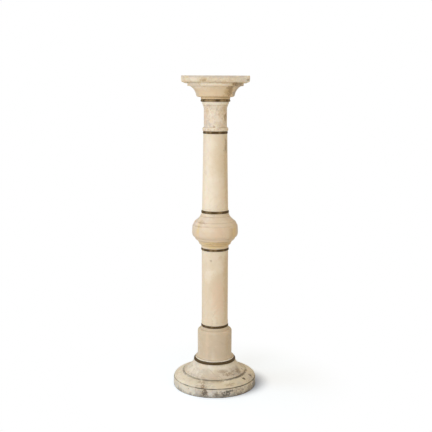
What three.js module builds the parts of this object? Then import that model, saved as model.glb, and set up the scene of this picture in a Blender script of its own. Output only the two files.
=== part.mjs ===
// Turned alabaster pedestal column. A square top slab stands on a stack of turned stones,
// and a rounded bronze ring covers each joint between the drums.
// Millimetres, +Z up, origin on the floor under the middle of the foot.
import * as THREE from 'three';

// Heights of the pieces, from the floor up
const FOOT_HEIGHT = 48;
const BELL_HEIGHT = 40;
const DRUM_HEIGHT = 110.7;
const LOWER_SHAFT_HEIGHT = 257.3;
const KNOP_HEIGHT = 118.6;
const UPPER_SHAFT_HEIGHT = 255.5;
const NECK_HEIGHT = 95.7;
const CAPITAL_HEIGHT = 52.8;
const SLAB_HEIGHT = 21;
const RING_HEIGHT = 8.4;

// Largest radii of the turned stones
const FOOT_RADIUS = 141.5;
const BELL_RADIUS = 105;
const DRUM_RADIUS = 58.3;
const LOWER_SHAFT_RADIUS = 44.5;
const KNOP_RADIUS = 77.2;
const UPPER_SHAFT_FOOT_RADIUS = 43.7;
const UPPER_SHAFT_TOP_RADIUS = 39.8;
const NECK_RADIUS = 38.3;
const CAPITAL_RADIUS = 92.4;
const SLAB_HALF_WIDTH = 108.4;

// Outer radii of the rings, from the foot up
const RING_RADII = {
  foot_ring: 72,
  drum_ring: 46.9,
  knop_lower_ring: 47.2,
  knop_upper_ring: 47,
  neck_lower_ring: 41.6,
  neck_upper_ring: 49.3,
};
const RING_BULGE = 2.6;

// Depth of the fine steps and turned lines between mouldings, and the rounding of sharp edges
const FILLET_STEP = 1.8;
const SOFT_EDGE = 1.2;

// Fineness of the turned forms
const TURN_SEGMENTS = 40;
const CURVE_STEPS = 3;

const alabaster = { color: 0xd9c8a4, roughness: 0.32, metalness: 0 };
const stainedAlabaster = { color: 0xcdbd9a, roughness: 0.45, metalness: 0 };
const bronze = { color: 0x3a2a1b, roughness: 0.42, metalness: 0.9 };

const column = new THREE.Group();
let stackTop = 0;

// Sets a finished piece on top of the stack.
function stack(name, geometry, height, look) {
  const mesh = new THREE.Mesh(geometry, new THREE.MeshStandardMaterial(look));
  mesh.name = name;
  mesh.position.z = stackTop;
  column.add(mesh);
  stackTop += height;
}

// Turns an outline, drawn as radius and height from the axis out and back, about the upright axis.
function turned(outline, segments = TURN_SEGMENTS, startAngle = 0) {
  const geometry = new THREE.LatheGeometry(outline.getPoints(CURVE_STEPS), segments, startAngle);
  return geometry.rotateX(Math.PI / 2);
}

// Starts an outline at the middle of a piece's underside.
function outlineFrom(radius, height = 0) {
  const outline = new THREE.Path();
  outline.moveTo(0, 0);
  outline.lineTo(radius, 0);
  if (height > 0) outline.lineTo(radius, height);
  return outline;
}

// Closes an outline across the top of a piece.
function closeAt(outline, height) {
  outline.lineTo(0, height);
  return outline;
}

// Round foot with a plain band, a turned line and a rounded shoulder.
function foot() {
  const bandTop = 29.5;
  const topRadius = BELL_RADIUS + 3;
  const shoulder = { radius: FOOT_RADIUS - 4, height: FOOT_HEIGHT - 8 };
  const outline = outlineFrom(FOOT_RADIUS - SOFT_EDGE);
  outline.lineTo(FOOT_RADIUS, SOFT_EDGE);
  outline.lineTo(FOOT_RADIUS, bandTop - FILLET_STEP / 2);
  outline.lineTo(FOOT_RADIUS - FILLET_STEP, bandTop);
  outline.lineTo(FOOT_RADIUS - FILLET_STEP / 2, bandTop + FILLET_STEP / 2);
  outline.quadraticCurveTo(shoulder.radius, shoulder.height, topRadius, FOOT_HEIGHT);
  return turned(closeAt(outline, FOOT_HEIGHT));
}

// Bell with an upright rim that sweeps in to the ring above it.
function bell() {
  const rimTop = 4.8;
  const topRadius = RING_RADII.foot_ring - 0.5;
  const hollow = { radius: BELL_RADIUS - 25, height: rimTop + 11.5 };
  const outline = outlineFrom(BELL_RADIUS - SOFT_EDGE);
  outline.lineTo(BELL_RADIUS, SOFT_EDGE);
  outline.lineTo(BELL_RADIUS, rimTop - SOFT_EDGE);
  outline.lineTo(BELL_RADIUS - SOFT_EDGE, rimTop);
  outline.quadraticCurveTo(hollow.radius, hollow.height, topRadius, BELL_HEIGHT);
  return turned(closeAt(outline, BELL_HEIGHT));
}

// Drum with a flared and filleted foot and a rounded shoulder under a narrow neck.
function drum() {
  const footRadius = 66.2;
  const footFillet = 3.6;
  const flare = { foot: footFillet + 0.6, hollow: footFillet + 3.5, top: 17 };
  const shoulderTop = DRUM_HEIGHT - 8.3;
  const shoulderDrop = 9;
  const neckRadius = RING_RADII.drum_ring - 0.1;
  const outline = outlineFrom(footRadius, footFillet);
  outline.lineTo(footRadius - FILLET_STEP, flare.foot);
  outline.quadraticCurveTo(DRUM_RADIUS, flare.hollow, DRUM_RADIUS, flare.top);
  outline.lineTo(DRUM_RADIUS, shoulderTop - shoulderDrop);
  outline.quadraticCurveTo(DRUM_RADIUS, shoulderTop - FILLET_STEP, neckRadius + FILLET_STEP, shoulderTop);
  outline.lineTo(neckRadius, shoulderTop);
  outline.lineTo(neckRadius, DRUM_HEIGHT);
  return turned(closeAt(outline, DRUM_HEIGHT));
}

// Plain straight shaft with a low band at its foot.
function lowerShaft() {
  const bandHeight = 11;
  const bandRadius = LOWER_SHAFT_RADIUS + 0.8;
  const outline = outlineFrom(bandRadius, bandHeight);
  outline.lineTo(LOWER_SHAFT_RADIUS, bandHeight + SOFT_EDGE);
  outline.lineTo(LOWER_SHAFT_RADIUS, LOWER_SHAFT_HEIGHT);
  return turned(closeAt(outline, LOWER_SHAFT_HEIGHT));
}

// Knop with stepped mouldings below, a full rounded body and two turned steps above.
function knop() {
  const endRadius = RING_RADII.knop_upper_ring - 0.6;
  const endFillet = 4;
  const hollow = { radius: 50.4, height: 11.5 };
  const steps = [{ radius: 53.4, top: 17.5 }, { radius: 56.4, top: 24.5 }];
  const body = { footRadius: 62, foot: 25.5, turn: 34.5, fullness: 48, drawIn: 71, top: 78 };
  const band = { radius: KNOP_RADIUS - 5, height: body.top + 7 };
  const upperStep = { radius: 68, height: 90 };
  const ogee = { radius: upperStep.radius - 11, height: upperStep.height + 8 };
  const collar = { radius: 48.4, foot: 108, top: 113 };
  const outline = outlineFrom(endRadius, endFillet);
  outline.quadraticCurveTo(endRadius, hollow.height - FILLET_STEP, hollow.radius, hollow.height);
  let stepFoot = hollow.height;
  for (const { radius, top } of steps) {
    outline.lineTo(radius, stepFoot + SOFT_EDGE);
    outline.lineTo(radius, top);
    stepFoot = top;
  }
  outline.lineTo(body.footRadius, body.foot);
  outline.quadraticCurveTo(KNOP_RADIUS - FILLET_STEP, body.turn, KNOP_RADIUS, body.fullness);
  outline.quadraticCurveTo(KNOP_RADIUS, body.drawIn, KNOP_RADIUS - FILLET_STEP, body.top);
  outline.lineTo(KNOP_RADIUS - 2 * FILLET_STEP, body.top + SOFT_EDGE);
  outline.quadraticCurveTo(band.radius, band.height, upperStep.radius, upperStep.height);
  outline.lineTo(upperStep.radius - FILLET_STEP, upperStep.height + SOFT_EDGE);
  outline.quadraticCurveTo(ogee.radius, ogee.height, collar.radius, collar.foot);
  outline.lineTo(collar.radius, collar.top);
  outline.lineTo(endRadius, collar.top + SOFT_EDGE);
  outline.lineTo(endRadius, KNOP_HEIGHT);
  return turned(closeAt(outline, KNOP_HEIGHT));
}

// Tapered shaft with a small bead at its foot.
function upperShaft() {
  const beadHeight = 5;
  const bendHeight = UPPER_SHAFT_HEIGHT * 0.55;
  const bendRadius = UPPER_SHAFT_FOOT_RADIUS - 2.6;
  const outline = outlineFrom(UPPER_SHAFT_FOOT_RADIUS + FILLET_STEP / 2, beadHeight);
  outline.lineTo(UPPER_SHAFT_FOOT_RADIUS, beadHeight + SOFT_EDGE);
  outline.quadraticCurveTo(bendRadius, bendHeight, UPPER_SHAFT_TOP_RADIUS, UPPER_SHAFT_HEIGHT);
  return turned(closeAt(outline, UPPER_SHAFT_HEIGHT));
}

// Neck drum with a bead at its foot and a hollowed collar under the capital's ring.
function neck() {
  const bead = { radius: NECK_RADIUS + 2.8, swell: 4, height: 12 };
  const collar = { radius: NECK_RADIUS + 6, foot: NECK_HEIGHT - 5 };
  const hollow = { radius: NECK_RADIUS + 2.2, height: collar.foot - 9, foot: collar.foot - 15 };
  const outline = outlineFrom(bead.radius);
  outline.quadraticCurveTo(bead.radius + bead.swell, bead.height / 2, bead.radius, bead.height);
  outline.lineTo(NECK_RADIUS, bead.height + bead.swell);
  outline.lineTo(NECK_RADIUS, hollow.foot);
  outline.quadraticCurveTo(hollow.radius, hollow.height, collar.radius - SOFT_EDGE, collar.foot - SOFT_EDGE);
  outline.lineTo(collar.radius, collar.foot);
  outline.lineTo(collar.radius, NECK_HEIGHT);
  return turned(closeAt(outline, NECK_HEIGHT));
}

// Capital that rounds out from a low seat on its ring, sweeps outwards and ends in a plain fillet.
function capital() {
  const seat = { radius: RING_RADII.neck_upper_ring - 1.3, height: 6.4 };
  const quarterRound = { radius: 62, height: seat.height + 7 };
  const sweep = { radius: quarterRound.radius + 5, height: quarterRound.height + 16.5 };
  const filletFoot = CAPITAL_HEIGHT - 12;
  const sweepRadius = CAPITAL_RADIUS - 8;
  const outline = outlineFrom(seat.radius, seat.height);
  outline.quadraticCurveTo(quarterRound.radius, seat.height, quarterRound.radius, quarterRound.height);
  outline.quadraticCurveTo(sweep.radius, sweep.height, sweepRadius, filletFoot);
  outline.lineTo(CAPITAL_RADIUS, filletFoot + SOFT_EDGE);
  outline.lineTo(CAPITAL_RADIUS, CAPITAL_HEIGHT);
  return turned(closeAt(outline, CAPITAL_HEIGHT));
}

// Square slab with an upright upper band and a rounded lower edge.
function slab() {
  const corner = Math.SQRT2;
  const bandFoot = 9;
  const underside = SLAB_HALF_WIDTH - 5;
  const outline = outlineFrom(underside * corner);
  outline.quadraticCurveTo(SLAB_HALF_WIDTH * corner, SOFT_EDGE, SLAB_HALF_WIDTH * corner, bandFoot);
  outline.lineTo(SLAB_HALF_WIDTH * corner, SLAB_HEIGHT);
  return turned(closeAt(outline, SLAB_HEIGHT), 4, Math.PI / 4);
}

// Ring with a rounded outer edge, as a solid collar between two stones.
function ring(radius) {
  const edgeRadius = radius - RING_BULGE;
  const outline = outlineFrom(edgeRadius);
  outline.quadraticCurveTo(radius + RING_BULGE, RING_HEIGHT / 2, edgeRadius, RING_HEIGHT);
  return turned(closeAt(outline, RING_HEIGHT));
}

function stackRing(name) {
  stack(name, ring(RING_RADII[name]), RING_HEIGHT, bronze);
}

stack('foot', foot(), FOOT_HEIGHT, stainedAlabaster);
stack('bell', bell(), BELL_HEIGHT, stainedAlabaster);
stackRing('foot_ring');
stack('base_drum', drum(), DRUM_HEIGHT, alabaster);
stackRing('drum_ring');
stack('lower_shaft', lowerShaft(), LOWER_SHAFT_HEIGHT, alabaster);
stackRing('knop_lower_ring');
stack('knop', knop(), KNOP_HEIGHT, alabaster);
stackRing('knop_upper_ring');
stack('upper_shaft', upperShaft(), UPPER_SHAFT_HEIGHT, alabaster);
stackRing('neck_lower_ring');
stack('neck', neck(), NECK_HEIGHT, alabaster);
stackRing('neck_upper_ring');
stack('capital', capital(), CAPITAL_HEIGHT, alabaster);
stack('top_slab', slab(), SLAB_HEIGHT, stainedAlabaster);

export default column;
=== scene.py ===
"""Looks of a turned alabaster pedestal column: worn stones, bronze rings and a pale studio stage."""

import math
from collections import namedtuple

import bpy
from bpy.props import FloatProperty, FloatVectorProperty, IntProperty, PointerProperty
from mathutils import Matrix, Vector


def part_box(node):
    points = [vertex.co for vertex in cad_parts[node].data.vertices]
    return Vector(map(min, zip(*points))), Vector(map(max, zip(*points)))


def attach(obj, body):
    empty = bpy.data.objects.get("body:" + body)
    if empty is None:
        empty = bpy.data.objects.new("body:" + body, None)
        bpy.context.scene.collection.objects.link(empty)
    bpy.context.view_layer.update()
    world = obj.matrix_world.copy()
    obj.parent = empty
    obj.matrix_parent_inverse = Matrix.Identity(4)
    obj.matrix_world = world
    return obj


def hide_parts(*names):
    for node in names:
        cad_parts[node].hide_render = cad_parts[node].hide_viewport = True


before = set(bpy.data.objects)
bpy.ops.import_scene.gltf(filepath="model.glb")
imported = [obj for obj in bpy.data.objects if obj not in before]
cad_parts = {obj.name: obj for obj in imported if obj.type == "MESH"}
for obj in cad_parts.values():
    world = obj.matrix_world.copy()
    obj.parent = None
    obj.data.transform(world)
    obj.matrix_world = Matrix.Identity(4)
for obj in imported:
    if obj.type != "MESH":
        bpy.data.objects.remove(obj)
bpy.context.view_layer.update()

bl_info = {
    "name": "Alabaster Pedestal Column",
    "version": (1, 0, 0),
    "blender": (4, 5, 0),
    "location": "View3D > Sidebar > Column",
    "description": "Models and finishes a turned alabaster pedestal column",
    "category": "Object",
}

MM = 0.001
WHITE = (1.0, 1.0, 1.0, 1.0)
BLACK = (0.0, 0.0, 0.0, 1.0)

# Depth of the fine steps between mouldings and the softening of their edges, in millimetres
FILLET = 1.8
SOFT = 1.2

# Points of a mesh closer than the first are merged, and places closer than the second count as level
WELD = 0.02 * MM
LEVEL = 0.1 * MM

# Edges sharper than the first angle are rounded, and those sharper than the second are shaded as corners
ROUNDED_ANGLE = math.radians(28.0)
CORNER_ANGLE = math.radians(50.0)

# How far from a piece's flat ends its relief reaches full depth
END_FADE = 2.0 * MM

# The depth in millimetres over which a mark comes in, and the squared shares of its half size where it ends
# and where it is full
MARK_DEPTH = 10.0
MARK_EDGE = (1.4, 0.1)

# A patch of colour on a stone, mostly a stain and at some places painted light or shade: its colour, bearing
# from the front in degrees, height above the floor, half width and half height in millimetres, strength from
# 0 to 1, its shift sideways from the bearing's line, and how far out from the axis it begins
Mark = namedtuple("Mark", "tone bearing height wide tall strength shift start", defaults=(0.0, 0.0))

# A line of colour round a stone, mostly at a joint and at some places painted shade or highlight: its
# colour, height above the floor, half width and strength
Line = namedtuple("Line", "tone height width strength")

# How one stone differs from the next: its main colour, share of honey and pale clouds, strength of its
# veins and grime, roughness, where it lay in the block, how far grime has splashed up it in millimetres, how
# far its marks are broken up, and the strength of its fine flecks
Look = namedtuple(
    "Look", "body honey pale veins grime roughness block splash fray flecks", defaults=(0.0, 1.0, 0.0)
)

# A bronze ring: the share of it rubbed to brass, the bearings of its brightest places, which are partly
# rubbed brass and partly painted highlights, and how far its upper and lower lips lie in from its outline
Ring = namedtuple("Ring", "rubbing bright upper_lip lower_lip", defaults=(2.4, 2.4))

# The rings, from the foot up
RINGS = {
    "foot_ring": Ring(0.05, (-54.0,), upper_lip=5.0, lower_lip=0.8),
    "drum_ring": Ring(0.25, (-40.0, -12.0)),
    "knop_lower_ring": Ring(0.45, (-58.0, -16.0, 2.0)),
    "knop_upper_ring": Ring(0.35, (-36.0, -22.0)),
    "neck_lower_ring": Ring(0.45, (-46.0, -24.0, 22.0)),
    "neck_upper_ring": Ring(0.8, (-36.0, -20.0, 26.0)),
}


def size(name, description, millimetres):
    """A length that a user may change."""
    return FloatProperty(name=name, description=description, default=millimetres * MM, unit="LENGTH")


def amount(name, description, value):
    """A plain number that a user may change."""
    return FloatProperty(name=name, description=description, default=value)


def tilt(name, description, degrees):
    """An angle that a user may change."""
    return FloatProperty(name=name, description=description, default=math.radians(degrees), subtype="ANGLE")


def tone(name, description, colour):
    """A colour that a user may change."""
    return FloatVectorProperty(
        name=name, description=description, default=(*colour, 1.0), size=4, subtype="COLOR", min=0.0, max=1.0
    )


class ColumnSizes(bpy.types.PropertyGroup):
    """Sizes of the fine work on the stones and rings."""

    segments: IntProperty(name="Segments", description="Faces round a turned stone", default=160, min=32)
    foot_segments: IntProperty(
        name="Foot segments", description="Faces round the worn foot", default=420, min=32
    )
    row: size("Row", "Longest face along a stone's outline", 5.0)
    fine_row: size("Fine row", "Longest face along the worn foot's outline", 1.8)
    edge: size("Edge rounding", "Rounding of the turned edges", 0.5)
    wobble: size("Wobble", "Unevenness of the hand-finished stones", 0.35)
    wear: size("Wear", "Unevenness of the worn foot and slab", 1.3)
    slab_corner: size("Slab corner", "Rounding of the slab's upright corners", 2.2)
    slab_lower: size("Slab lower edge", "Rounding of the slab's lower edge", 6.0)
    slab_upper: size("Slab upper edge", "Rounding of the slab's upper edge", 1.4)
    slab_grain: size("Slab grain", "Face size on the slab", 1.5)


class ColumnTones(bpy.types.PropertyGroup):
    """Colours of the stones and rings."""

    upper_shaft: tone("Upper shaft", "Main colour of the upper shaft", (0.88, 0.817, 0.72))
    lower_shaft: tone("Lower shaft", "Main colour of the lower shaft", (0.83, 0.752, 0.646))
    neck: tone("Neck", "Main colour of the neck drum", (0.857, 0.8, 0.71))
    knop: tone("Knop", "Main colour of the knop", (0.81, 0.707, 0.606))
    capital: tone("Capital", "Main colour of the capital", (0.816, 0.698, 0.537))
    drum: tone("Drum", "Main colour of the base drum", (0.673, 0.585, 0.478))
    slab: tone("Slab", "Main colour of the top slab", (0.785, 0.722, 0.59))
    bell: tone("Bell", "Main colour of the bell", (0.67, 0.626, 0.555))
    foot: tone("Foot", "Main colour of the foot", (0.75, 0.7, 0.597))
    # Besides the stone's own clouds and stains, some tones are laid on at given places as painted light and
    # shade: pale as painted light and highlights, gold as painted light in the knop's shaded lower steps,
    # honey and grey as painted shade, and mauve as painted rim reflection at the sides of the knop and
    # capital
    pale: tone("Pale", "White clouds in the stone", (0.94, 0.91, 0.85))
    honey: tone("Honey", "Warm clouds in the stone", (0.64, 0.5, 0.3))
    brown: tone("Brown", "Brown veins and stains", (0.3, 0.205, 0.12))
    gold: tone("Gold", "Yellow mouldings of the knop", (0.82, 0.67, 0.4))
    peach: tone("Peach", "Light pinkish patches", (0.84, 0.68, 0.55))
    rose: tone("Rose", "Dark pinkish patches", (0.62, 0.51, 0.47))
    mauve: tone("Mauve", "Cool greyish patches", (0.58, 0.565, 0.575))
    grey: tone("Grey", "Grey veins and grime", (0.3, 0.28, 0.255))
    # Near-black: grime in pits and turned lines, and also painted shade at the foot's lower edge, the right
    # end of its band and the joint under the bell
    dirt: tone("Dirt", "Dirt in lines and pits", (0.07, 0.055, 0.04))
    bronze: tone("Bronze", "Dark patina of the rings", (0.106, 0.073, 0.036))
    # Also painted highlights where the light catches the rings
    brass: tone("Brass", "Metal where the patina is rubbed", (0.42, 0.32, 0.19))


class ColumnStage(bpy.types.PropertyGroup):
    """Camera, lights and floor."""

    lens: amount("Lens", "Focal length in millimetres", 63.2)
    distance: size("Distance", "Camera to the column's axis", 2521.5)
    offset: size("Offset", "Camera to the right", 1.7)
    height: size("Height", "Camera above the floor", 986.8)
    pitch: tilt("Pitch", "Camera's tilt down", 9.0)
    roll: tilt("Roll", "Camera's sideways tilt", -0.2)
    front_power: amount("Front", "Power of the front softbox in watts", 37.0)
    front_tone: tone("Front colour", "Colour of the front softbox", (0.9, 0.94, 1.0))
    side_power: amount("Side", "Power of the left softbox in watts", 14.0)
    side_tone: tone("Side colour", "Colour of the left softbox", (0.7, 0.88, 1.0))
    fill: amount("Fill", "Strength of the light from all round", 0.62)
    fill_tone: tone("Fill colour", "Colour of the light from all round", (1.0, 0.84, 0.61))
    floor_glow: amount("Floor glow", "Light of the pale floor itself", 0.42)
    glow_tone: tone("Glow colour", "Colour of the floor's own light", (0.97, 0.975, 1.0))
    # The floor's own light by the foot fades to this: a painted shadow
    contact_tone: tone("Contact colour", "What is left of that light close to the foot", (0.0, 0.04, 0.16))


class Wire:
    """A shader socket: arithmetic on it adds Math nodes, and node() adds any other kind."""

    def __init__(self, tree, socket=None):
        self.tree = tree
        self.socket = socket

    def node(self, kind, settings=None, inputs=None, output=0):
        """Adds a node, sets its settings first and then the values or links of its sockets."""
        made = self.tree.nodes.new("ShaderNode" + kind)
        for key, value in (settings or {}).items():
            setattr(made, key, value)
        for key, value in (inputs or {}).items():
            if isinstance(value, Wire):
                self.tree.links.new(value.socket, made.inputs[key])
            else:
                made.inputs[key].default_value = value
        return Wire(self.tree, made.outputs[output] if made.outputs else None)

    def math(self, operation, first, second):
        return self.node("Math", {"operation": operation}, {0: first, 1: second})

    def __add__(self, other):
        return self.math("ADD", self, other)

    __radd__ = __add__

    def __sub__(self, other):
        return self.math("SUBTRACT", self, other)

    def __rsub__(self, other):
        return self.math("SUBTRACT", other, self)

    def __mul__(self, other):
        return self.math("MULTIPLY", self, other)

    __rmul__ = __mul__

    def __abs__(self):
        return self.node("Math", {"operation": "ABSOLUTE"}, {0: self})

    def fade(self, low, high):
        """0 at the first value and 1 at the second, smooth between."""
        return self.node(
            "MapRange",
            {"interpolation_type": "SMOOTHSTEP"},
            {"Value": self, "From Min": low, "From Max": high},
        )

    def mix(self, first, second):
        """The first colour where this is 0, and the second where it is 1."""
        return self.node("Mix", {"data_type": "RGBA"}, {0: self, 6: first, 7: second}, output=2)

    def along(self, direction):
        """How far this vector reaches in a direction."""
        return self.node("VectorMath", {"operation": "DOT_PRODUCT"}, {0: self, 1: direction}, output="Value")

    def distance(self, point):
        """How far this vector's end lies from a point."""
        return self.node("VectorMath", {"operation": "DISTANCE"}, {0: self, 1: point}, output="Value")


class Finish:
    """A material in the making, with its pattern on object coordinates."""

    def __init__(self, name, block=(0.0, 0.0, 0.0)):
        self.material = bpy.data.materials.new(name)
        self.material.use_nodes = True
        self.material.node_tree.nodes.clear()
        self.draw = Wire(self.material.node_tree)
        self.at = self.draw.node("TexCoord", output="Object")
        self.height = self.at.along((0.0, 0.0, 1.0))
        self.block = block

    def noise(self, scale, detail=4.0, stretch=(1.0, 1.0, 1.0), turn=(0.0, 0.0, 0.0), distortion=0.0):
        """Cloudy values from 0 to 1, with so many clouds to the metre."""
        vector = self.draw.node(
            "Mapping", None, {"Vector": self.at, "Location": self.block, "Rotation": turn, "Scale": stretch}
        )
        return self.draw.node(
            "TexNoise", None, {"Vector": vector, "Scale": scale, "Detail": detail, "Distortion": distortion}
        )

    def patch(self, mark, fray):
        """1 on a ragged patch of the surface at a mark's bearing and height, and 0 away from it."""
        bearing = math.radians(mark.bearing)
        outwards = (math.sin(bearing), -math.cos(bearing), 0.0)
        across = (math.cos(bearing), math.sin(bearing), 0.0)
        side = (self.at.along(across) - mark.shift * MM) * (1 / (mark.wide * MM))
        up = (self.height - mark.height * MM) * (1 / (mark.tall * MM))
        facing = self.at.along(outwards).fade(mark.start * MM, (mark.start + MARK_DEPTH) * MM)
        return (side * side + up * up + fray).fade(*MARK_EDGE) * facing * mark.strength

    def shade(self, colour, roughness, relief, depth, **fixed):
        """The surface shader; fixed values go straight onto its sockets."""
        bump = self.draw.node("Bump", None, {"Strength": 1.0, "Distance": depth, "Height": relief})
        return self.draw.node(
            "BsdfPrincipled", None, {"Base Color": colour, "Roughness": roughness, "Normal": bump, **fixed}
        )

    def close(self, surface):
        self.draw.node("OutputMaterial", None, {"Surface": surface})
        return self.material


def stone(look, marks=(), lines=()):
    """Polished alabaster: slanting clouds, veins, stains at their places, lines at the turned joints, and
    painted light and shade where marks and lines are set for it.
    """
    tones = bpy.context.scene.column_tones
    finish = Finish(look.body + "_alabaster", look.block)
    drift = finish.noise(7.0, detail=4.0, stretch=(1.0, 1.0, 0.5), turn=(0.1, 0.75, 0.2), distortion=0.8)
    clouds = finish.noise(19.0, detail=5.0, stretch=(1.0, 1.0, 0.4), turn=(0.2, 0.8, 0.4), distortion=0.6)
    mottle = finish.noise(75.0, detail=6.0, distortion=0.4)
    colour = (drift.fade(0.42, 0.72) * look.honey).mix(getattr(tones, look.body), tones.honey)
    colour = (clouds.fade(0.48, 0.7) * look.pale).mix(colour, tones.pale)
    colour = (mottle.fade(0.5, 0.75) * (0.5 * look.honey)).mix(colour, tones.honey)
    colour = (mottle.fade(0.48, 0.25) * (0.5 * look.pale)).mix(colour, tones.pale)

    vein_path = finish.noise(5.5, detail=7.0, stretch=(1.0, 1.0, 0.8), turn=(0.9, 0.2, 0.5), distortion=1.1)
    vein = abs(vein_path - 0.5).fade(0.014, 0.002) * clouds.fade(0.42, 0.62)
    colour = (vein * look.veins).mix(colour, tones.brown)
    grey_path = finish.noise(8.0, detail=8.0, turn=(0.3, 1.1, 0.2), distortion=1.6)
    grey_vein = abs(grey_path - 0.47).fade(0.03, 0.004) * drift.fade(0.5, 0.35)
    colour = (grey_vein * (0.6 * look.veins)).mix(colour, tones.grey)

    flecks = finish.noise(240.0, detail=6.0, distortion=0.8)
    if look.flecks:
        freckles = finish.noise(130.0, detail=3.0, distortion=1.0)
        colour = (freckles.fade(0.5, 0.64) * look.flecks).mix(colour, tones.pale)
        colour = (freckles.fade(0.5, 0.34) * look.flecks).mix(colour, tones.rose)
    fray = (finish.noise(70.0, detail=7.0, distortion=1.2) + flecks - 1.0) * (3.4 * look.fray)
    for mark in marks:
        colour = finish.patch(mark, fray).mix(colour, getattr(tones, mark.tone))

    grime = finish.noise(26.0, detail=7.0, distortion=0.8)
    colour = (grime.fade(0.5, 0.75) * look.grime).mix(colour, tones.grey)
    if look.splash:
        low = finish.height.fade(look.splash * MM, 0.0)
        smears = finish.noise(34.0, detail=7.0, stretch=(1.0, 1.0, 0.5), distortion=0.7)
        colour = ((smears + low * 0.22).fade(0.56, 0.74) * low * 0.85).mix(colour, tones.grey)
    for line in lines:
        ragged = finish.height + (mottle - 0.5) * (0.9 * line.width * MM)
        near = abs(ragged - line.height * MM).fade(line.width * MM, 0.2 * line.width * MM)
        worn = grime.fade(0.3, 0.58) * 0.7 + 0.3
        colour = (near * worn * line.strength).mix(colour, getattr(tones, line.tone))

    speck = finish.noise(420.0, detail=3.0)
    pits = speck.fade(0.7, 0.8) * look.grime
    colour = pits.mix(colour, tones.dirt)
    roughness = look.roughness + (clouds - 0.5) * 0.14 + grime.fade(0.5, 0.8) * (0.3 * look.grime)
    surface = finish.shade(
        colour,
        roughness,
        relief=mottle * 0.4 + speck * 0.2 - pits,
        depth=0.4 * MM,
        **{
            "IOR": 1.5,
            "Subsurface Weight": 0.2,
            "Subsurface Radius": (1.0, 0.62, 0.34),
            "Subsurface Scale": 9.0 * MM,
        },
    )
    return finish.close(surface)


def bronze(name, block, ring, height):
    """Dark patinated bronze, rubbed to brass here and there, with brass patches at given bearings that are
    partly painted highlights.
    """
    tones = bpy.context.scene.column_tones
    finish = Finish(name, block)
    patina = finish.noise(38.0, detail=6.0, distortion=0.6)
    grain = finish.noise(260.0, detail=4.0)
    rubbed = (patina + (ring.rubbing - 0.5) * 0.3).fade(0.52, 0.72) * grain.fade(0.25, 0.55) * 0.7
    colour = rubbed.mix(tones.bronze, tones.brass)
    fray = (grain - 0.5) * 2.0
    # Brass patches at the ring's given bearings: partly rubbed metal, partly painted highlights
    for bearing in ring.bright:
        mark = Mark("brass", bearing, height, wide=6.0, tall=5.0, strength=ring.rubbing)
        colour = finish.patch(mark, fray).mix(colour, tones.brass)
    roughness = 0.52 - rubbed * 0.16 + (grain - 0.5) * 0.2
    return finish.close(finish.shade(colour, roughness, grain, depth=0.25 * MM, Metallic=0.45))


class Outline:
    """Half the section of a turned piece, in millimetres from its axis and its underside."""

    def __init__(self, radius, row):
        self.points = [(0.0, 0.0), (radius, 0.0)]
        self.row = row / MM

    def to(self, radius, height):
        """A straight run, with points close enough on it for wear to show."""
        start = self.points[-1]
        length = math.hypot(radius - start[0], height - start[1])
        steps = max(1, math.ceil(length / self.row))
        for step in range(1, steps + 1):
            share = step / steps
            self.points.append(
                (start[0] + (radius - start[0]) * share, start[1] + (height - start[1]) * share)
            )

    def curve(self, pull, end):
        """A curve to an end point, pulled towards another on its way."""
        start = self.points[-1]
        steps = max(5, math.ceil((math.dist(start, pull) + math.dist(pull, end)) / self.row))
        for step in range(1, steps + 1):
            t = step / steps
            weights = ((1 - t) ** 2, 2 * t * (1 - t), t * t)
            self.points.append(
                tuple(sum(w * p[axis] for w, p in zip(weights, (start, pull, end))) for axis in (0, 1))
            )


def merge_doubles():
    """Closes the active piece where points of its mesh coincide, and turns its faces outwards."""
    bpy.ops.object.mode_set(mode="EDIT")
    bpy.ops.mesh.select_all(action="SELECT")
    bpy.ops.mesh.remove_doubles(threshold=WELD)
    bpy.ops.mesh.normals_make_consistent(inside=False)
    bpy.ops.object.mode_set(mode="OBJECT")


def turn(node, outline, segments):
    """Extrudes a point along an outline and back over its flat top, and spins that round the axis."""
    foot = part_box(node)[0].z
    bpy.ops.object.select_all(action="DESELECT")
    bpy.ops.mesh.primitive_plane_add(size=MM)
    piece = bpy.context.object
    piece.name = piece.data.name = "turned_" + node
    bpy.ops.object.mode_set(mode="EDIT")
    bpy.ops.mesh.select_all(action="SELECT")
    bpy.ops.mesh.merge(type="CENTER")
    points = [*outline.points, (0.0, outline.points[-1][1])]
    path = [Vector((radius * MM, 0.0, foot + height * MM)) for radius, height in points]
    bpy.ops.transform.translate(value=path[0])
    for start, end in zip(path, path[1:]):
        bpy.ops.mesh.extrude_region_move(TRANSFORM_OT_translate={"value": end - start})
    bpy.ops.mesh.select_all(action="SELECT")
    bpy.ops.mesh.spin(steps=segments, angle=math.tau, center=(0.0, 0.0, 0.0), axis=(0.0, 0.0, 1.0))
    bpy.ops.object.mode_set(mode="OBJECT")
    merge_doubles()
    return piece


def apply_modifier(piece, kind, **settings):
    """Adds a modifier to a piece, sets it up and applies it."""
    bpy.context.view_layer.objects.active = piece
    bpy.ops.object.modifier_add(type=kind)
    modifier = piece.modifiers[-1]
    for key, value in settings.items():
        setattr(modifier, key, value)
    bpy.ops.object.modifier_apply(modifier=modifier.name)


def finish_edges(piece, width):
    """Rounds the sharp edges and smooths the shading."""
    apply_modifier(
        piece, "BEVEL", width=width, segments=2, limit_method="ANGLE", angle_limit=ROUNDED_ANGLE
    )
    merge_doubles()
    piece.select_set(True)
    bpy.ops.object.shade_smooth_by_angle(angle=CORNER_ANGLE)


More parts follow.
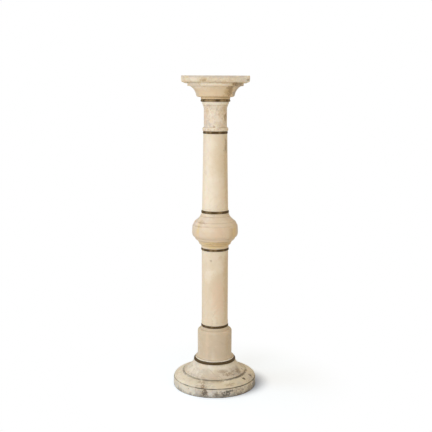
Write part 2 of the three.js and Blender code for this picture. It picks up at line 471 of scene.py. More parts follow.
def weather(piece, depth, grain):
    """Makes the surface uneven by a cloudy relief, and leaves the two flat ends alone."""
    heights = [vertex.co.z for vertex in piece.data.vertices]
    low = min(heights)
    high = max(heights)
    sides = piece.vertex_groups.new(name="sides")
    for vertex, height in zip(piece.data.vertices, heights):
        inside = min(height - low, high - height)
        sides.add([vertex.index], min(1.0, inside / END_FADE), "REPLACE")
    relief = bpy.data.textures.new(piece.name + "_relief", "CLOUDS")
    relief.noise_scale = grain
    relief.noise_depth = 4
    apply_modifier(
        piece,
        "DISPLACE",
        texture=relief,
        texture_coords="LOCAL",
        strength=depth,
        mid_level=0.6,
        vertex_group=sides.name,
    )
    piece.vertex_groups.clear()


def turn_piece(node, outline, sizes, depth, grain):
    """Turns a piece, makes its surface uneven and rounds its edges."""
    piece = turn(node, outline, sizes.segments)
    weather(piece, depth, grain)
    finish_edges(piece, sizes.edge)
    return piece


def dent(piece, place, push, reach):
    """Pushes the surface in at a place, fading out at a reach."""
    bpy.ops.object.select_all(action="DESELECT")
    piece.select_set(True)
    bpy.context.view_layer.objects.active = piece
    nearest = min(piece.data.vertices, key=lambda vertex: (vertex.co - place).length).index
    bpy.ops.object.mode_set(mode="EDIT")
    bpy.ops.mesh.select_mode(type="VERT")
    bpy.ops.mesh.select_all(action="DESELECT")
    bpy.ops.object.mode_set(mode="OBJECT")
    piece.data.vertices[nearest].select = True
    bpy.ops.object.mode_set(mode="EDIT")
    bpy.ops.transform.translate(
        value=push,
        use_proportional_edit=True,
        proportional_edit_falloff="SPHERE",
        proportional_size=reach,
    )
    bpy.ops.object.mode_set(mode="OBJECT")


def settle(piece, node, material):
    """Puts a finished piece in its node's place on the column."""
    piece.data.materials.clear()
    piece.data.materials.append(material)
    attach(piece, "root")
    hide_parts(node)


def reach_of(node):
    """A node's largest radius and its height, in millimetres."""
    low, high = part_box(node)
    return high.x / MM, (high.z - low.z) / MM


def on_surface(radius, bearing, height):
    """A point at a radius, a bearing from the front in degrees and a height, all in millimetres."""
    angle = math.radians(bearing)
    return Vector((radius * math.sin(angle), -radius * math.cos(angle), height)) * MM


class COLUMN_OT_foot(bpy.types.Operator):
    """Turns the worn round foot and the bell that stands on it"""

    bl_idname = "column.foot"
    bl_label = "Foot and bell"

    # Pits in the foot: radius, bearing from the front in degrees, height and reach in millimetres
    PITS = (
        (125.1, 53.5, 42.4, 4.2),
        (128.0, 73.0, 41.2, 3.6),
        (140.5, -38.0, 21.0, 1.6),
        (136.0, 120.0, 38.0, 2.2),
        (141.5, 152.0, 15.0, 2.4),
        (126.0, -128.0, 43.0, 2.0),
        (141.5, -95.0, 9.0, 2.6),
    )

    # A pit is pressed in by the first, towards a point on the axis that lies lower by the second
    PIT_DEPTH = 2.2
    PIT_AIM = 40.0

    def execute(self, context):
        sizes = context.scene.column_sizes
        self.turn_foot(sizes)
        self.turn_bell(sizes)
        return {"FINISHED"}

    def turn_foot(self, sizes):
        radius, top = reach_of("foot")
        seat_radius = reach_of("bell")[0] + 3.0
        band_edge = 1.6
        band_top = 29.2
        groove_radius = radius - 3.4
        groove_top = band_top + 1.6
        shoulder = (radius - 4.0, top - 8.0)
        outline = Outline(radius - band_edge, sizes.fine_row)
        outline.curve((radius, 0.0), (radius, band_edge))
        outline.to(radius, band_top - band_edge)
        outline.curve((radius, band_top - 0.1), (radius - 1.4, band_top))
        outline.to(groove_radius, band_top + 0.3)
        outline.to(groove_radius, groove_top)
        outline.to(radius - band_edge, groove_top + 0.8)
        outline.curve(shoulder, (seat_radius, top))
        piece = turn("foot", outline, sizes.foot_segments)
        weather(piece, sizes.wear, grain=20.0 * MM)
        for pit_radius, bearing, height, reach in self.PITS:
            place = on_surface(pit_radius, bearing, height)
            inward = Vector((-place.x, -place.y, -self.PIT_AIM * MM)).normalized()
            dent(piece, place, inward * self.PIT_DEPTH * MM, reach * MM)
        finish_edges(piece, sizes.edge)
        marks = [
            Mark("brown", -20, 43.8, 12, 2.2, 0.6),
            Mark("brown", -16, 35.4, 11, 4, 0.8),
            Mark("brown", 6, 46, 20, 1.2, 0.35),
            Mark("brown", 23, 39, 18, 3, 0.45),
            Mark("brown", 64, 36, 20, 6, 0.4),
            Mark("mauve", 66, 39, 28, 9, 0.35),
            # Painted light: the shoulder made lighter at its left and at both sides
            Mark("pale", -62, 40, 34, 10, 0.4),
            Mark("pale", -105, 43, 60, 9, 0.6),
            Mark("pale", 105, 43, 50, 9, 0.4),
            Mark("mauve", 5, 13, 76, 16, 0.55),
            Mark("brown", -14, 14, 13, 15, 0.7),
            Mark("dirt", -13.5, 14, 8, 12, 0.7),
            Mark("dirt", -10, 3, 22, 5, 0.7),
            Mark("brown", 6, 9, 24, 11, 0.55),
            Mark("dirt", 4, 8, 7, 9, 0.6),
            Mark("dirt", 11.5, 6, 17, 7, 0.95),
            Mark("dirt", 17, 14, 13, 9, 0.85),
            Mark("dirt", 20, 21.5, 17, 4, 0.75),
            Mark("brown", 34.5, 13, 22, 14, 0.55),
            Mark("brown", 62, 12, 44, 17, 0.5),
            # Painted shade: the right end of the band, turned from the light, the bottom right edge by the
            # floor, and the joint under the bell on the right, all made darker
            Mark("grey", 72, 13, 32, 20, 0.55),
            Mark("dirt", 78, 13, 28, 19, 0.45),
            Mark("dirt", 45, 1, 64, 6, 0.7),
            Mark("dirt", 42, 47.6, 52, 1.2, 0.5),
        ]
        marks += [
            Mark("dirt", bearing, height, 1.2 * reach, 0.6 * reach, 0.95)
            for _, bearing, height, reach in self.PITS
        ]
        look = Look("foot", 0.3, 0.35, 0.4, 0.35, 0.5, (1.3, 0.2, 0.7), splash=24.0, fray=1.5)
        lines = [
            Line("dirt", band_top + 0.8, 2.4, 0.75),
            Line("dirt", top, 1.8, 0.6),
            # Painted shade: a dark line all round the foot's lower edge, where it meets the floor
            Line("dirt", 0.0, 3.0, 0.7),
        ]
        settle(piece, "foot", stone(look, marks, lines))

    def turn_bell(self, sizes):
        radius, top = reach_of("bell")
        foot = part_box("bell")[0].z / MM
        rim_edge = 1.0
        rim_top = 4.8
        top_radius = reach_of("foot_ring")[0] - 0.5
        hollow = (radius - 25.0, rim_top + 11.5)
        pale_band = 32.0
        outline = Outline(radius - rim_edge, sizes.row)
        outline.curve((radius, 0.0), (radius, rim_edge))
        outline.to(radius, rim_top - rim_edge)
        outline.curve((radius, rim_top), (radius - 1.4, rim_top))
        outline.curve(hollow, (top_radius, top))
        piece = turn_piece("bell", outline, sizes, 2.0 * sizes.wobble, grain=20.0 * MM)
        marks = [
            Mark("mauve", 50, 66, 36, 16, 0.5),
            Mark("brown", 22, 70, 16, 5, 0.5),
            Mark("brown", 34, 61, 22, 5, 0.65),
            Mark("brown", 60, 60, 16, 7, 0.65),
            Mark("grey", 54, 56, 18, 4, 0.5),
            Mark("peach", -33, 80, 18, 9, 0.4),
            Mark("rose", 2, 60, 26, 8, 0.25),
            Mark("pale", -55, 62, 22, 10, 0.4),
            Mark("pale", 72, 58, 12, 4, 0.5),
            Mark("dirt", 78, 57, 3, 2.4, 0.9),
            Mark("dirt", 79, 52, 3, 1.8, 0.9),
            # Painted shade: the joint with the foot made wider and darker on the right
            Mark("dirt", 44, 48.6, 52, 2.2, 0.42),
            Mark("pale", 40, 78, 34, 9, 0.4),
            Mark("pale", 84, 66, 26, 12, 0.45),
            Mark("pale", -76, 67, 32, 14, 0.5),
            Mark("pale", -40, 56, 22, 7, 0.45),
        ]
        look = Look("bell", 0.25, 0.4, 0.35, 0.25, 0.45, (0.3, 2.2, 1.9), fray=1.4)
        lines = [
            Line("dirt", foot, 1.8, 0.6),
            Line("rose", foot + rim_top + 0.8, 1.6, 0.4),
            Line("pale", foot + pale_band, 10.0, 0.45),
        ]
        settle(piece, "bell", stone(look, marks, lines))


class COLUMN_OT_drums(bpy.types.Operator):
    """Turns the base drum and the neck drum"""

    bl_idname = "column.drums"
    bl_label = "Base drum and neck"

    def execute(self, context):
        sizes = context.scene.column_sizes
        self.turn_base_drum(sizes)
        self.turn_neck(sizes)
        return {"FINISHED"}

    def turn_base_drum(self, sizes):
        foot_radius, top = reach_of("base_drum")
        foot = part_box("base_drum")[0].z / MM
        radius = 58.3
        fillet_edge = 0.6
        fillet_top = 3.6
        flare_top = 17.0
        shoulder_drop = 9.0
        shoulder_top = top - 8.3
        neck_radius = reach_of("drum_ring")[0] - 0.1
        neck_hollow = 3.0
        outline = Outline(foot_radius - fillet_edge, sizes.row)
        outline.curve((foot_radius, 0.0), (foot_radius, 0.8))
        outline.to(foot_radius, fillet_top - fillet_edge)
        outline.curve((foot_radius, fillet_top), (foot_radius - 1.0, fillet_top))
        outline.to(foot_radius - FILLET, fillet_top + fillet_edge)
        outline.curve((radius, fillet_top + 3.5), (radius, flare_top))
        outline.to(radius, shoulder_top - shoulder_drop)
        outline.curve((radius, shoulder_top - FILLET), (neck_radius + neck_hollow, shoulder_top))
        outline.curve((neck_radius, shoulder_top + 0.4), (neck_radius, top - neck_hollow))
        outline.to(neck_radius, top)
        piece = turn_piece("base_drum", outline, sizes, sizes.wobble, grain=30.0 * MM)
        marks = [
            Mark("honey", 46, 160, 7, 46, 0.35),
            Mark("peach", 44, 192, 16, 10, 0.3),
            Mark("peach", -26, 155, 7, 44, 0.3),
            # Painted light: a lighter strip down the drum's left side
            Mark("pale", -70, 150, 8, 56, 0.3),
        ]
        look = Look("drum", 0.2, 0.22, 0.15, 0.1, 0.4, (2.7, 0.9, 3.4))
        lines = [
            # Painted highlight: a pale line along the lower fillet
            Line("pale", foot + fillet_top / 2, 3.4, 1.0),
            Line("brown", foot + fillet_top + 1.0, 1.6, 0.5),
            Line("brown", foot + shoulder_top, 1.6, 0.2),
        ]
        settle(piece, "base_drum", stone(look, marks, lines))

    def turn_neck(self, sizes):
        top = reach_of("neck")[1]
        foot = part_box("neck")[0].z / MM
        radius = 38.3
        bead_radius = radius + 2.8
        bead_swell = 4.0
        bead_top = 12.0
        collar_radius = radius + 6.0
        collar_foot = top - 5.0
        collar_edge = 0.6
        hollow = (radius + 2.2, collar_foot - 9.0)
        hollow_foot = collar_foot - 15.0
        outline = Outline(bead_radius, sizes.row)
        outline.curve((bead_radius + bead_swell, bead_top / 2), (bead_radius, bead_top))
        outline.to(bead_radius - 1.0, bead_top + 0.4)
        outline.curve((radius, bead_top + 1.0), (radius, bead_top + bead_swell))
        outline.to(radius, hollow_foot)
        outline.curve(hollow, (collar_radius - SOFT, collar_foot - SOFT))
        outline.to(collar_radius - 0.2, collar_foot - collar_edge)
        outline.to(collar_radius, collar_foot)
        outline.to(collar_radius, top - collar_edge)
        outline.to(collar_radius - collar_edge, top)
        piece = turn_piece("neck", outline, sizes, sizes.wobble, grain=30.0 * MM)
        marks = [
            Mark("honey", 50, 946, 10, 13, 0.45),
            Mark("honey", -44, 938, 7, 16, 0.45),
            Mark("pale", -10, 932, 15, 24, 0.5),
            Mark("pale", 20, 944, 7, 5, 0.4),
            Mark("pale", -19, 895, 7, 8, 0.35),
            Mark("pale", 12, 908, 14, 14, 0.5),
            Mark("grey", 8, 943, 4, 4, 0.3),
            Mark("mauve", 2, 926, 5, 14, 0.3),
            Mark("honey", 26, 930, 9, 12, 0.25),
            Mark("honey", 10, 898, 12, 6, 0.2),
            Mark("honey", 56, 918, 10, 18, 0.5),
            Mark("brown", 58, 917, 7, 14, 0.6),
            Mark("mauve", -46, 896, 16, 14, 0.6),
            Mark("peach", -62, 925, 10, 36, 0.5),
            Mark("honey", -34, 878, 4, 3, 0.5),
            Mark("brown", -5.8, 887, 3.5, 2.5, 0.4),
            Mark("rose", -62, 920, 18, 46, 0.35),
            # Painted highlight: a pale band round the collar
            Mark("pale", 0, 965, 60, 8, 1.0),
        ]
        look = Look("neck", 0.4, 0.55, 0.45, 0.1, 0.34, (4.1, 1.7, 0.2), flecks=0.6)
        lines = [
            Line("brown", foot + bead_top + 1.0, 1.6, 0.4),
            Line("brown", foot + collar_foot - 6.0, 1.6, 0.3),
        ]
        settle(piece, "neck", stone(look, marks, lines))


class COLUMN_OT_shafts(bpy.types.Operator):
    """Turns the straight lower shaft and the tapered upper shaft"""

    bl_idname = "column.shafts"
    bl_label = "Shafts"

    def execute(self, context):
        sizes = context.scene.column_sizes
        self.turn_lower(sizes)
        self.turn_upper(sizes)
        return {"FINISHED"}

    def turn_lower(self, sizes):
        band_radius, top = reach_of("lower_shaft")
        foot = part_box("lower_shaft")[0].z / MM
        radius = 44.5
        band_edge = 0.5
        band_top = 11.0
        outline = Outline(band_radius - band_edge, sizes.row)
        outline.to(band_radius, band_edge)
        outline.to(band_radius, band_top)
        outline.curve((radius, band_top + 0.4), (radius, band_top + 1.6))
        outline.to(radius, top)
        piece = turn_piece("lower_shaft", outline, sizes, sizes.wobble, grain=40.0 * MM)
        marks = [
            Mark("brown", -17.9, 442, 4, 3.6, 0.4),
            Mark("pale", -30, 390, 18, 26, 0.4),
            Mark("pale", -10, 402, 14, 14, 0.3),
            Mark("pale", -12, 306, 10, 22, 0.2),
            Mark("peach", 20, 310, 26, 64, 0.65),
            # Painted shade: a warmer, darker strip down the right side
            Mark("honey", 54, 352, 11, 120, 0.35),
            Mark("honey", 26, 452, 10, 8, 0.25),
        ]
        look = Look("lower_shaft", 0.3, 0.35, 0.12, 0.05, 0.32, (0.6, 5.3, 2.2))
        lines = [Line("brown", foot + band_top + 0.6, 1.4, 0.12)]
        settle(piece, "lower_shaft", stone(look, marks, lines))

    def turn_upper(self, sizes):
        top = reach_of("upper_shaft")[1]
        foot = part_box("upper_shaft")[0].z / MM
        foot_radius = 43.7
        top_radius = 39.8
        bead_top = 5.0
        bend = (foot_radius - 2.6, top * 0.55)
        outline = Outline(foot_radius, sizes.row)
        outline.curve((foot_radius + 1.6, bead_top / 2), (foot_radius + 0.4, bead_top))
        outline.curve((foot_radius, bead_top + 0.3), (foot_radius, bead_top + 1.5))
        outline.curve(bend, (top_radius, top))
        piece = turn_piece("upper_shaft", outline, sizes, sizes.wobble, grain=40.0 * MM)
        marks = [
            Mark("pale", -45, 833, 8, 20, 0.4),
            Mark("pale", -14, 828, 16, 22, 0.3),
            Mark("grey", 60, 826, 7, 24, 0.6),
            Mark("grey", 50, 812, 6, 8, 0.3),
            Mark("rose", -49, 737, 8, 9, 0.25),
            Mark("rose", -62, 812, 18, 60, 0.2),
            Mark("honey", 20, 760, 26, 40, 0.15),
            Mark("pale", -15, 715, 26, 10, 0.3),
            # Painted shade: a warmer, darker strip down the right side
            Mark("honey", 58, 735, 10, 140, 0.32),
            Mark("pale", -40, 659, 14, 34, 0.35),
            Mark("peach", 34, 660, 14, 40, 0.3),
        ]
        look = Look("upper_shaft", 0.25, 0.35, 0.1, 0.04, 0.32, (3.3, 0.4, 6.1))
        lines = [Line("brown", foot + bead_top + 0.6, 1.3, 0.3)]
        settle(piece, "upper_shaft", stone(look, marks, lines))


class COLUMN_OT_knop(bpy.types.Operator):
    """Turns the rounded knop with its stepped mouldings"""

    bl_idname = "column.knop"
    bl_label = "Knop"

    def execute(self, context):
        sizes = context.scene.column_sizes
        radius, top = reach_of("knop")
        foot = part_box("knop")[0].z / MM
        end_radius = reach_of("knop_upper_ring")[0] - 0.6
        end_top = 4.0
        hollow_radius = 50.4
        hollow_top = 11.5
        steps = ((53.4, 17.5), (56.4, 24.5))
        body_foot_radius = 60.0
        lower_radius = 67.6
        lower_step = 35.0
        fullness = 50.0
        body_top = 78.0
        upper_radius = 68.0
        upper_step = 90.0
        ogee = (upper_radius - 11.0, upper_step + 8.0)
        collar_radius = 48.4
        collar_foot = 108.0
        collar_top = 113.0
        outline = Outline(end_radius, sizes.row)
        outline.to(end_radius, end_top)
        outline.curve((end_radius, hollow_top - FILLET), (hollow_radius, hollow_top))
        step_foot = hollow_top
        for step_radius, step_top in steps:
            outline.to(step_radius - 0.8, step_foot + 0.8)
            outline.curve((step_radius + 0.8, (step_foot + step_top) / 2), (step_radius - 0.4, step_top))
            step_foot = step_top
        outline.to(body_foot_radius, step_foot + 0.8)
        outline.curve((lower_radius - 0.6, step_foot + 3.5), (lower_radius, lower_step))
        outline.to(lower_radius + FILLET, lower_step + 1.4)
        outline.curve((radius - 0.8, lower_step + 5.5), (radius, fullness))
        outline.curve((radius, body_top - 7.0), (radius - FILLET, body_top))
        outline.to(radius - 2 * FILLET, body_top + SOFT)
        outline.curve((radius - 5.0, body_top + 7.0), (upper_radius, upper_step))
        outline.to(upper_radius - FILLET, upper_step + SOFT)
        outline.curve(ogee, (collar_radius + 1.6, collar_foot - 0.8))
        outline.to(collar_radius, collar_foot)
        outline.to(collar_radius, collar_top)
        outline.to(end_radius, collar_top + SOFT)
        outline.to(end_radius, top)
        piece = turn_piece("knop", outline, sizes, sizes.wobble, grain=30.0 * MM)
        marks = [
            # Partly the knop's golden colour and partly painted light: the shaded lower steps made lighter
            # and more golden
            Mark("gold", 2, 497, 56, 14, 1.0),
            Mark("honey", 16, 499, 38, 10, 0.65),
            Mark("honey", 44, 538, 12, 30, 0.5),
            Mark("gold", 57, 540, 10, 26, 0.7),
            Mark("honey", -44, 572, 13, 6, 0.6),
            Mark("gold", -48, 548, 8, 22, 0.75),
            Mark("peach", 12, 542, 20, 16, 0.4),
            Mark("rose", -23, 563, 14, 4, 0.35),
            Mark("pale", -18, 551, 20, 9, 0.25),
            Mark("rose", -40, 580, 24, 14, 0.3),
            # Painted shade under the upper steps on the left
            Mark("brown", -40, foot + upper_step, 22, 2.6, 0.35),
            Mark("brown", -50, foot + body_top, 20, 2.6, 0.35),
            Mark("pale", 32, 560, 20, 44, 0.2),
            Mark("pale", 50, 562, 14, 9, 0.3),
            Mark("pale", 68, 582, 18, 14, 0.35),
            # Painted rim reflection: cooler, greyer sides at the knop's edges
            Mark("mauve", -78, 550, 20, 36, 0.4),
            Mark("mauve", 80, 548, 18, 34, 0.4),
        ]
        look = Look("knop", 0.25, 0.35, 0.2, 0.08, 0.34, (5.2, 3.1, 1.4))
        lines = [
            Line("brown", foot + hollow_top + 0.4, 1.8, 0.35),
            Line("brown", foot + steps[0][1] + 0.4, 1.8, 0.4),
            Line("brown", foot + steps[1][1] + 0.4, 1.8, 0.35),
            Line("brown", foot + lower_step + 0.6, 1.6, 0.12),
            # These two lines are painted shade under the body's top and the upper step
            Line("brown", foot + body_top + 1.0, 2.0, 0.2),
            Line("brown", foot + upper_step + 1.0, 2.0, 0.22),
            Line("brown", foot + collar_foot, 1.8, 0.35),
        ]
        settle(piece, "knop", stone(look, marks, lines))
        return {"FINISHED"}


class COLUMN_OT_capital(bpy.types.Operator):
    """Turns the flared capital under the slab"""

    bl_idname = "column.capital"
    bl_label = "Capital"

    def execute(self, context):
        sizes = context.scene.column_sizes
        radius, top = reach_of("capital")
        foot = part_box("capital")[0].z / MM
        seat_radius = reach_of("neck_upper_ring")[0] - 0.2
        seat_top = 6.4
        round_radius = 63.2
        round_top = seat_top + 7.0
        sweep = (round_radius + 4.0, seat_top + 26.0)
        ledge = 9.0
        fillet_foot = top - 10.8
        outline = Outline(seat_radius - 1.0, sizes.row)
        outline.curve((seat_radius + 0.6, seat_top / 2), (seat_radius - 0.6, seat_top))
        outline.curve((round_radius, seat_top), (round_radius, round_top))
        outline.curve(sweep, (radius - ledge, fillet_foot))
        outline.to(radius - SOFT, fillet_foot + SOFT / 2)
        outline.curve((radius, fillet_foot + 0.8), (radius, fillet_foot + 2 * SOFT))
        outline.to(radius, top)
        piece = turn_piece("capital", outline, sizes, sizes.wobble, grain=30.0 * MM)
        marks = [
            # Painted light: the fillet and the top of the sweep on the left made lighter where the slab
            # shades them
            Mark("pale", -16, 1022, 76, 7, 0.75),
            Mark("pale", -58, 1022, 54, 11, 1.0),
            Mark("pale", -36, 1012, 44, 7, 0.4),
            Mark("honey", 38, 997, 18, 22, 0.85),
            Mark("brown", 46, 999, 11, 17, 0.6),
            Mark("brown", 38, 1013, 14, 5, 0.6),
            # Partly grey-brown marbling and partly painted shadow of the slab on the right of the fillet
            Mark("brown", 43, 1023, 12, 7, 0.8),
            Mark("grey", 58, 1022, 20, 8, 0.6),
            # Painted rim reflection: cooler, greyer sides at the capital's edges
            Mark("mauve", -74, 1001, 22, 20, 0.4),
            Mark("mauve", 74, 1001, 18, 20, 0.75),
            Mark("grey", 72, 999, 14, 18, 0.25),
            # Partly the stone's golden tone and partly painted shade: the seat under the round made darker
            Mark("honey", 6, 980, 60, 7, 0.65),
        ]
        look = Look("capital", 0.35, 0.2, 0.2, 0.08, 0.34, (1.9, 4.4, 2.6))
        lines = [
            Line("brown", foot + fillet_foot - 0.6, 1.6, 0.2),
            Line("brown", foot + seat_top, 2.0, 0.2),
        ]
        settle(piece, "capital", stone(look, marks, lines))
        return {"FINISHED"}


class COLUMN_OT_slab(bpy.types.Operator):
    """Carves the square top slab with its rounded lower edge and worn arrises"""

    bl_idname = "column.slab"
    bl_label = "Top slab"

    # Chips in the front edges: place sideways and up, and depth, in millimetres
    CHIPS = ((102.0, 1037.0, 1.2), (-60.0, 1049.0, 1.0), (-38.0, 1034.0, 1.2), (24.0, 1049.4, 0.8))
    CHIP_REACH = 3.2 * MM

    # The longest that an edge up a corner is in plan
    CORNER_REACH = 10.0 * MM

    def execute(self, context):
        sizes = context.scene.column_sizes
        low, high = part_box("top_slab")
        bpy.ops.object.select_all(action="DESELECT")
        bpy.ops.mesh.primitive_cube_add(size=1.0)
        piece = context.object
        piece.name = piece.data.name = "carved_top_slab"
        bpy.ops.object.mode_set(mode="EDIT")
        bpy.ops.transform.resize(value=high - low)
        bpy.ops.transform.translate(value=(low + high) / 2)
        self.round_edges(piece, sizes.slab_lower, lambda a, b: max(a.z, b.z) < low.z + LEVEL)
        self.round_edges(piece, sizes.slab_upper, lambda a, b: min(a.z, b.z) > high.z - LEVEL)
        self.round_edges(piece, sizes.slab_corner, self.at_corner)
        bpy.ops.object.mode_set(mode="OBJECT")
        apply_modifier(piece, "REMESH", mode="VOXEL", voxel_size=sizes.slab_grain)
        weather(piece, 0.5 * sizes.wear, grain=18.0 * MM)
        for side, height, depth in self.CHIPS:
            place = Vector((side, low.y / MM, height)) * MM
            dent(piece, place, Vector((0.0, depth, 0.0)) * MM, self.CHIP_REACH)
        piece.select_set(True)
        bpy.ops.object.shade_smooth()
        settle(piece, "top_slab", self.finish(high.x / MM - MARK_DEPTH, high.z / MM))
        return {"FINISHED"}

    def at_corner(self, a, b):
        """Whether an edge runs up one of the slab's four corners."""
        on_diagonals = max(abs(abs(point.x) - abs(point.y)) for point in (a, b)) < LEVEL
        return on_diagonals and (a - b).xy.length < self.CORNER_REACH

    def round_edges(self, piece, width, wanted):
        """Bevels the edges whose two ends answer a test of their places."""
        bpy.ops.mesh.select_all(action="DESELECT")
        bpy.ops.object.mode_set(mode="OBJECT")
        points = piece.data.vertices
        for edge in piece.data.edges:
            edge.select = wanted(points[edge.vertices[0]].co, points[edge.vertices[1]].co)
        bpy.ops.object.mode_set(mode="EDIT")
        bpy.ops.mesh.select_mode(type="EDGE")
        bpy.ops.mesh.bevel(offset=width, segments=4)

    def finish(self, start, top):
        """Stains on the four sides, which fade out just inside the slab's edges."""
        stains = (
            ("pale", 0, 1042, 15, 12, 0.75, -66),
            ("pale", 0, 1037, 14, 6, 0.4, -94),
            ("honey", 0, 1037, 12, 8, 0.6, -38),
            ("brown", 0, 1035, 8, 4, 0.35, -37),
            ("dirt", 0, 1037, 4, 4, 0.8, 102),
            ("honey", 0, 1034, 24, 3, 0.3, 34),
            ("mauve", 0, 1041, 22, 10, 0.3, 90),
            ("mauve", 0, top - 2.0, 116, 5, 0.65, 0),
            ("pale", 90, 1042, 26, 11, 0.7, 34),
            ("honey", 90, 1037, 16, 8, 0.5, -52),
            ("honey", 180, 1040, 28, 10, 0.5, -44),
            ("pale", 180, 1038, 18, 8, 0.6, 40),
            ("pale", 270, 1042, 20, 11, 0.7, 55),
            ("brown", 270, 1036, 10, 5, 0.35, -24),
        )
        look = Look("slab", 0.2, 0.3, 0.25, 0.15, 0.36, (6.4, 1.2, 3.7), flecks=0.4)
        return stone(look, [Mark(*stain, start) for stain in stains])


class COLUMN_OT_rings(bpy.types.Operator):
    """Turns the six bronze rings at the joints"""

    bl_idname = "column.rings"
    bl_label = "Rings"

    def execute(self, context):
        sizes = context.scene.column_sizes
        for order, (node, ring) in enumerate(RINGS.items()):
            radius, top = reach_of(node)
            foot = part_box(node)[0].z / MM
            outline = Outline(radius - ring.lower_lip, sizes.row)
            belly = top * 0.36
            shoulder = top * 0.8
            outline.curve((radius, 0.3), (radius, belly))
            outline.curve((radius, shoulder), (radius - ring.upper_lip, top))
            piece = turn_piece(node, outline, sizes, sizes.wobble, grain=12.0 * MM)
            pour = (order * 1.7, 0.4, order * 0.9)
            material = bronze(node + "_bronze", pour, ring, foot + top / 2)
            settle(piece, node, material)
        return {"FINISHED"}


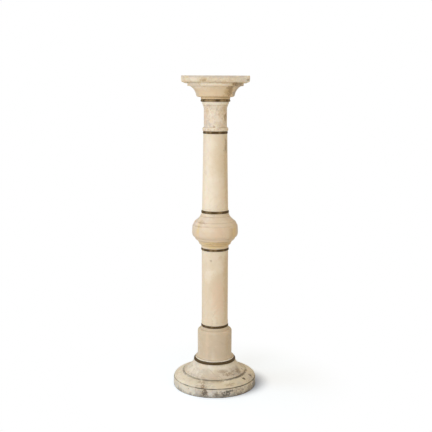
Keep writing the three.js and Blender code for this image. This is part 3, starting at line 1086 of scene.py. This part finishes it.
class COLUMN_OT_stage(bpy.types.Operator):
    """Sets the pale floor, the soft lights and the camera"""

    bl_idname = "column.stage"
    bl_label = "Stage"

    # Places and widths of the round softboxes, and the height that they are turned to, in metres
    FRONT_PLACE = (-1.52, -2.63, 1.14)
    FRONT_WIDTH = 2.0
    SIDE_PLACE = (-1.65, -0.29, 2.5)
    SIDE_WIDTH = 1.3
    AIM_HEIGHT = 0.5

    # The floor's radius, where it runs out into the room, in metres from the axis, and its two colours
    FLOOR_RADIUS = 9.0
    FLOOR_FADE = (0.24, 0.5)
    FLOOR_PALE = (0.73, 0.83, 0.99, 1.0)
    FLOOR_DULL = (0.66, 0.76, 0.92, 1.0)

    # A painted shadow on the floor by the foot: its middle, where it ends, in metres from that, and its
    # colour
    CONTACT_PLACE = (40.0 * MM, 12.0 * MM, 0.0)
    CONTACT_FADE = (0.09, 0.165)
    CONTACT_FLOOR = (0.52, 0.59, 0.7, 1.0)

    def execute(self, context):
        stage = context.scene.column_stage
        self.lay_floor(stage)
        self.light_room(context.scene, stage)
        front = self.hang_softbox(
            "front_softbox", self.FRONT_PLACE, self.FRONT_WIDTH, stage.front_power, stage.front_tone
        )
        front.visible_glossy = False
        self.hang_softbox(
            "side_softbox", self.SIDE_PLACE, self.SIDE_WIDTH, stage.side_power, stage.side_tone
        )
        self.place_camera(context.scene, stage)
        return {"FINISHED"}

    def lay_floor(self, stage):
        """A pale floor that takes the column's shadow, darkened further by a painted shadow by the foot, and
        runs out into the white of the room.
        """
        bpy.ops.object.select_all(action="DESELECT")
        bpy.ops.mesh.primitive_circle_add(vertices=128, radius=self.FLOOR_RADIUS, fill_type="NGON")
        floor = bpy.context.object
        floor.name = floor.data.name = "pale_floor"
        finish = Finish("pale_floor")
        grain = finish.noise(30.0, detail=3.0)
        # Painted shadow: by the foot the floor's colour darkens and its glow fades to the contact tone
        contact = finish.at.distance(self.CONTACT_PLACE).fade(*self.CONTACT_FADE)
        shade = (grain * 0.02).mix(self.FLOOR_PALE, self.FLOOR_DULL)
        shade = contact.mix(self.CONTACT_FLOOR, shade)
        open_glow = contact.mix(stage.contact_tone, stage.glow_tone)
        glow = self.seen(finish.draw).mix(BLACK, open_glow)
        near = finish.shade(
            shade,
            roughness=0.9,
            relief=grain,
            depth=0.05 * MM,
            **{"Emission Color": glow, "Emission Strength": stage.floor_glow},
        )
        far = self.room(finish.draw, "Emission", stage)
        away = finish.at.distance((0.0, 0.0, 0.0)).fade(*self.FLOOR_FADE)
        mixed = finish.draw.node("MixShader", None, {0: away, 1: near, 2: far})
        floor.data.materials.append(finish.close(mixed))

    def seen(self, draw):
        """1 for what the camera sees straight, and 0 for light that falls on something."""
        return draw.node("LightPath", output="Is Camera Ray")

    def room(self, draw, kind, stage):
        """White to the eye, and a weaker, warmer fill on the stones."""
        white = draw.node(kind, None, {"Color": WHITE, "Strength": 1.0})
        fill = draw.node(kind, None, {"Color": stage.fill_tone, "Strength": stage.fill})
        return draw.node("MixShader", None, {0: self.seen(draw), 1: fill, 2: white})

    def light_room(self, scene, stage):
        world = bpy.data.worlds.new("studio")
        scene.world = world
        world.use_nodes = True
        world.node_tree.nodes.clear()
        draw = Wire(world.node_tree)
        draw.node("OutputWorld", None, {"Surface": self.room(draw, "Background", stage)})

    def hang_softbox(self, name, place, width, power, colour):
        """A round soft light, turned to the middle of the column."""
        bpy.ops.object.light_add(type="AREA", location=place)
        light = bpy.context.object
        light.name = light.data.name = name
        light.data.shape = "DISK"
        light.data.size = width
        light.data.energy = power
        light.data.color = colour[:3]
        aim = Vector((0.0, 0.0, self.AIM_HEIGHT)) - Vector(place)
        light.rotation_euler = aim.to_track_quat("-Z", "Y").to_euler()
        return light

    def place_camera(self, scene, stage):
        bpy.ops.object.camera_add(
            location=(stage.offset, -stage.distance, stage.height),
            rotation=(math.pi / 2 - stage.pitch, stage.roll, 0.0),
        )
        camera = bpy.context.object
        camera.name = camera.data.name = "viewer"
        camera.data.lens = stage.lens
        camera.data.sensor_width = 36.0
        scene.camera = camera
        scene.view_settings.view_transform = "Standard"


class COLUMN_PT_panel(bpy.types.Panel):
    """Lists the column's pieces and their settings"""

    bl_idname = "COLUMN_PT_panel"
    bl_label = "Alabaster column"
    bl_space_type = "VIEW_3D"
    bl_region_type = "UI"
    bl_category = "Column"

    def draw(self, context):
        for operator in OPERATORS:
            self.layout.operator(operator.bl_idname)
        for group in (context.scene.column_sizes, context.scene.column_tones, context.scene.column_stage):
            box = self.layout.box()
            for name in group.bl_rna.properties.keys():
                if name not in ("rna_type", "name"):
                    box.prop(group, name)


OPERATORS = (
    COLUMN_OT_foot,
    COLUMN_OT_drums,
    COLUMN_OT_shafts,
    COLUMN_OT_knop,
    COLUMN_OT_capital,
    COLUMN_OT_slab,
    COLUMN_OT_rings,
    COLUMN_OT_stage,
)
GROUPS = {"column_sizes": ColumnSizes, "column_tones": ColumnTones, "column_stage": ColumnStage}


def register():
    for group in GROUPS.values():
        bpy.utils.register_class(group)
    for name, group in GROUPS.items():
        setattr(bpy.types.Scene, name, PointerProperty(type=group))
    for operator in OPERATORS:
        bpy.utils.register_class(operator)
    bpy.utils.register_class(COLUMN_PT_panel)


def unregister():
    bpy.utils.unregister_class(COLUMN_PT_panel)
    for operator in reversed(OPERATORS):
        bpy.utils.unregister_class(operator)
    for name, group in GROUPS.items():
        delattr(bpy.types.Scene, name)
        bpy.utils.unregister_class(group)


def main():
    register()
    bpy.ops.column.foot()
    bpy.ops.column.drums()
    bpy.ops.column.shafts()
    bpy.ops.column.knop()
    bpy.ops.column.capital()
    bpy.ops.column.slab()
    bpy.ops.column.rings()
    bpy.ops.column.stage()


if __name__ == "__main__":
    main()
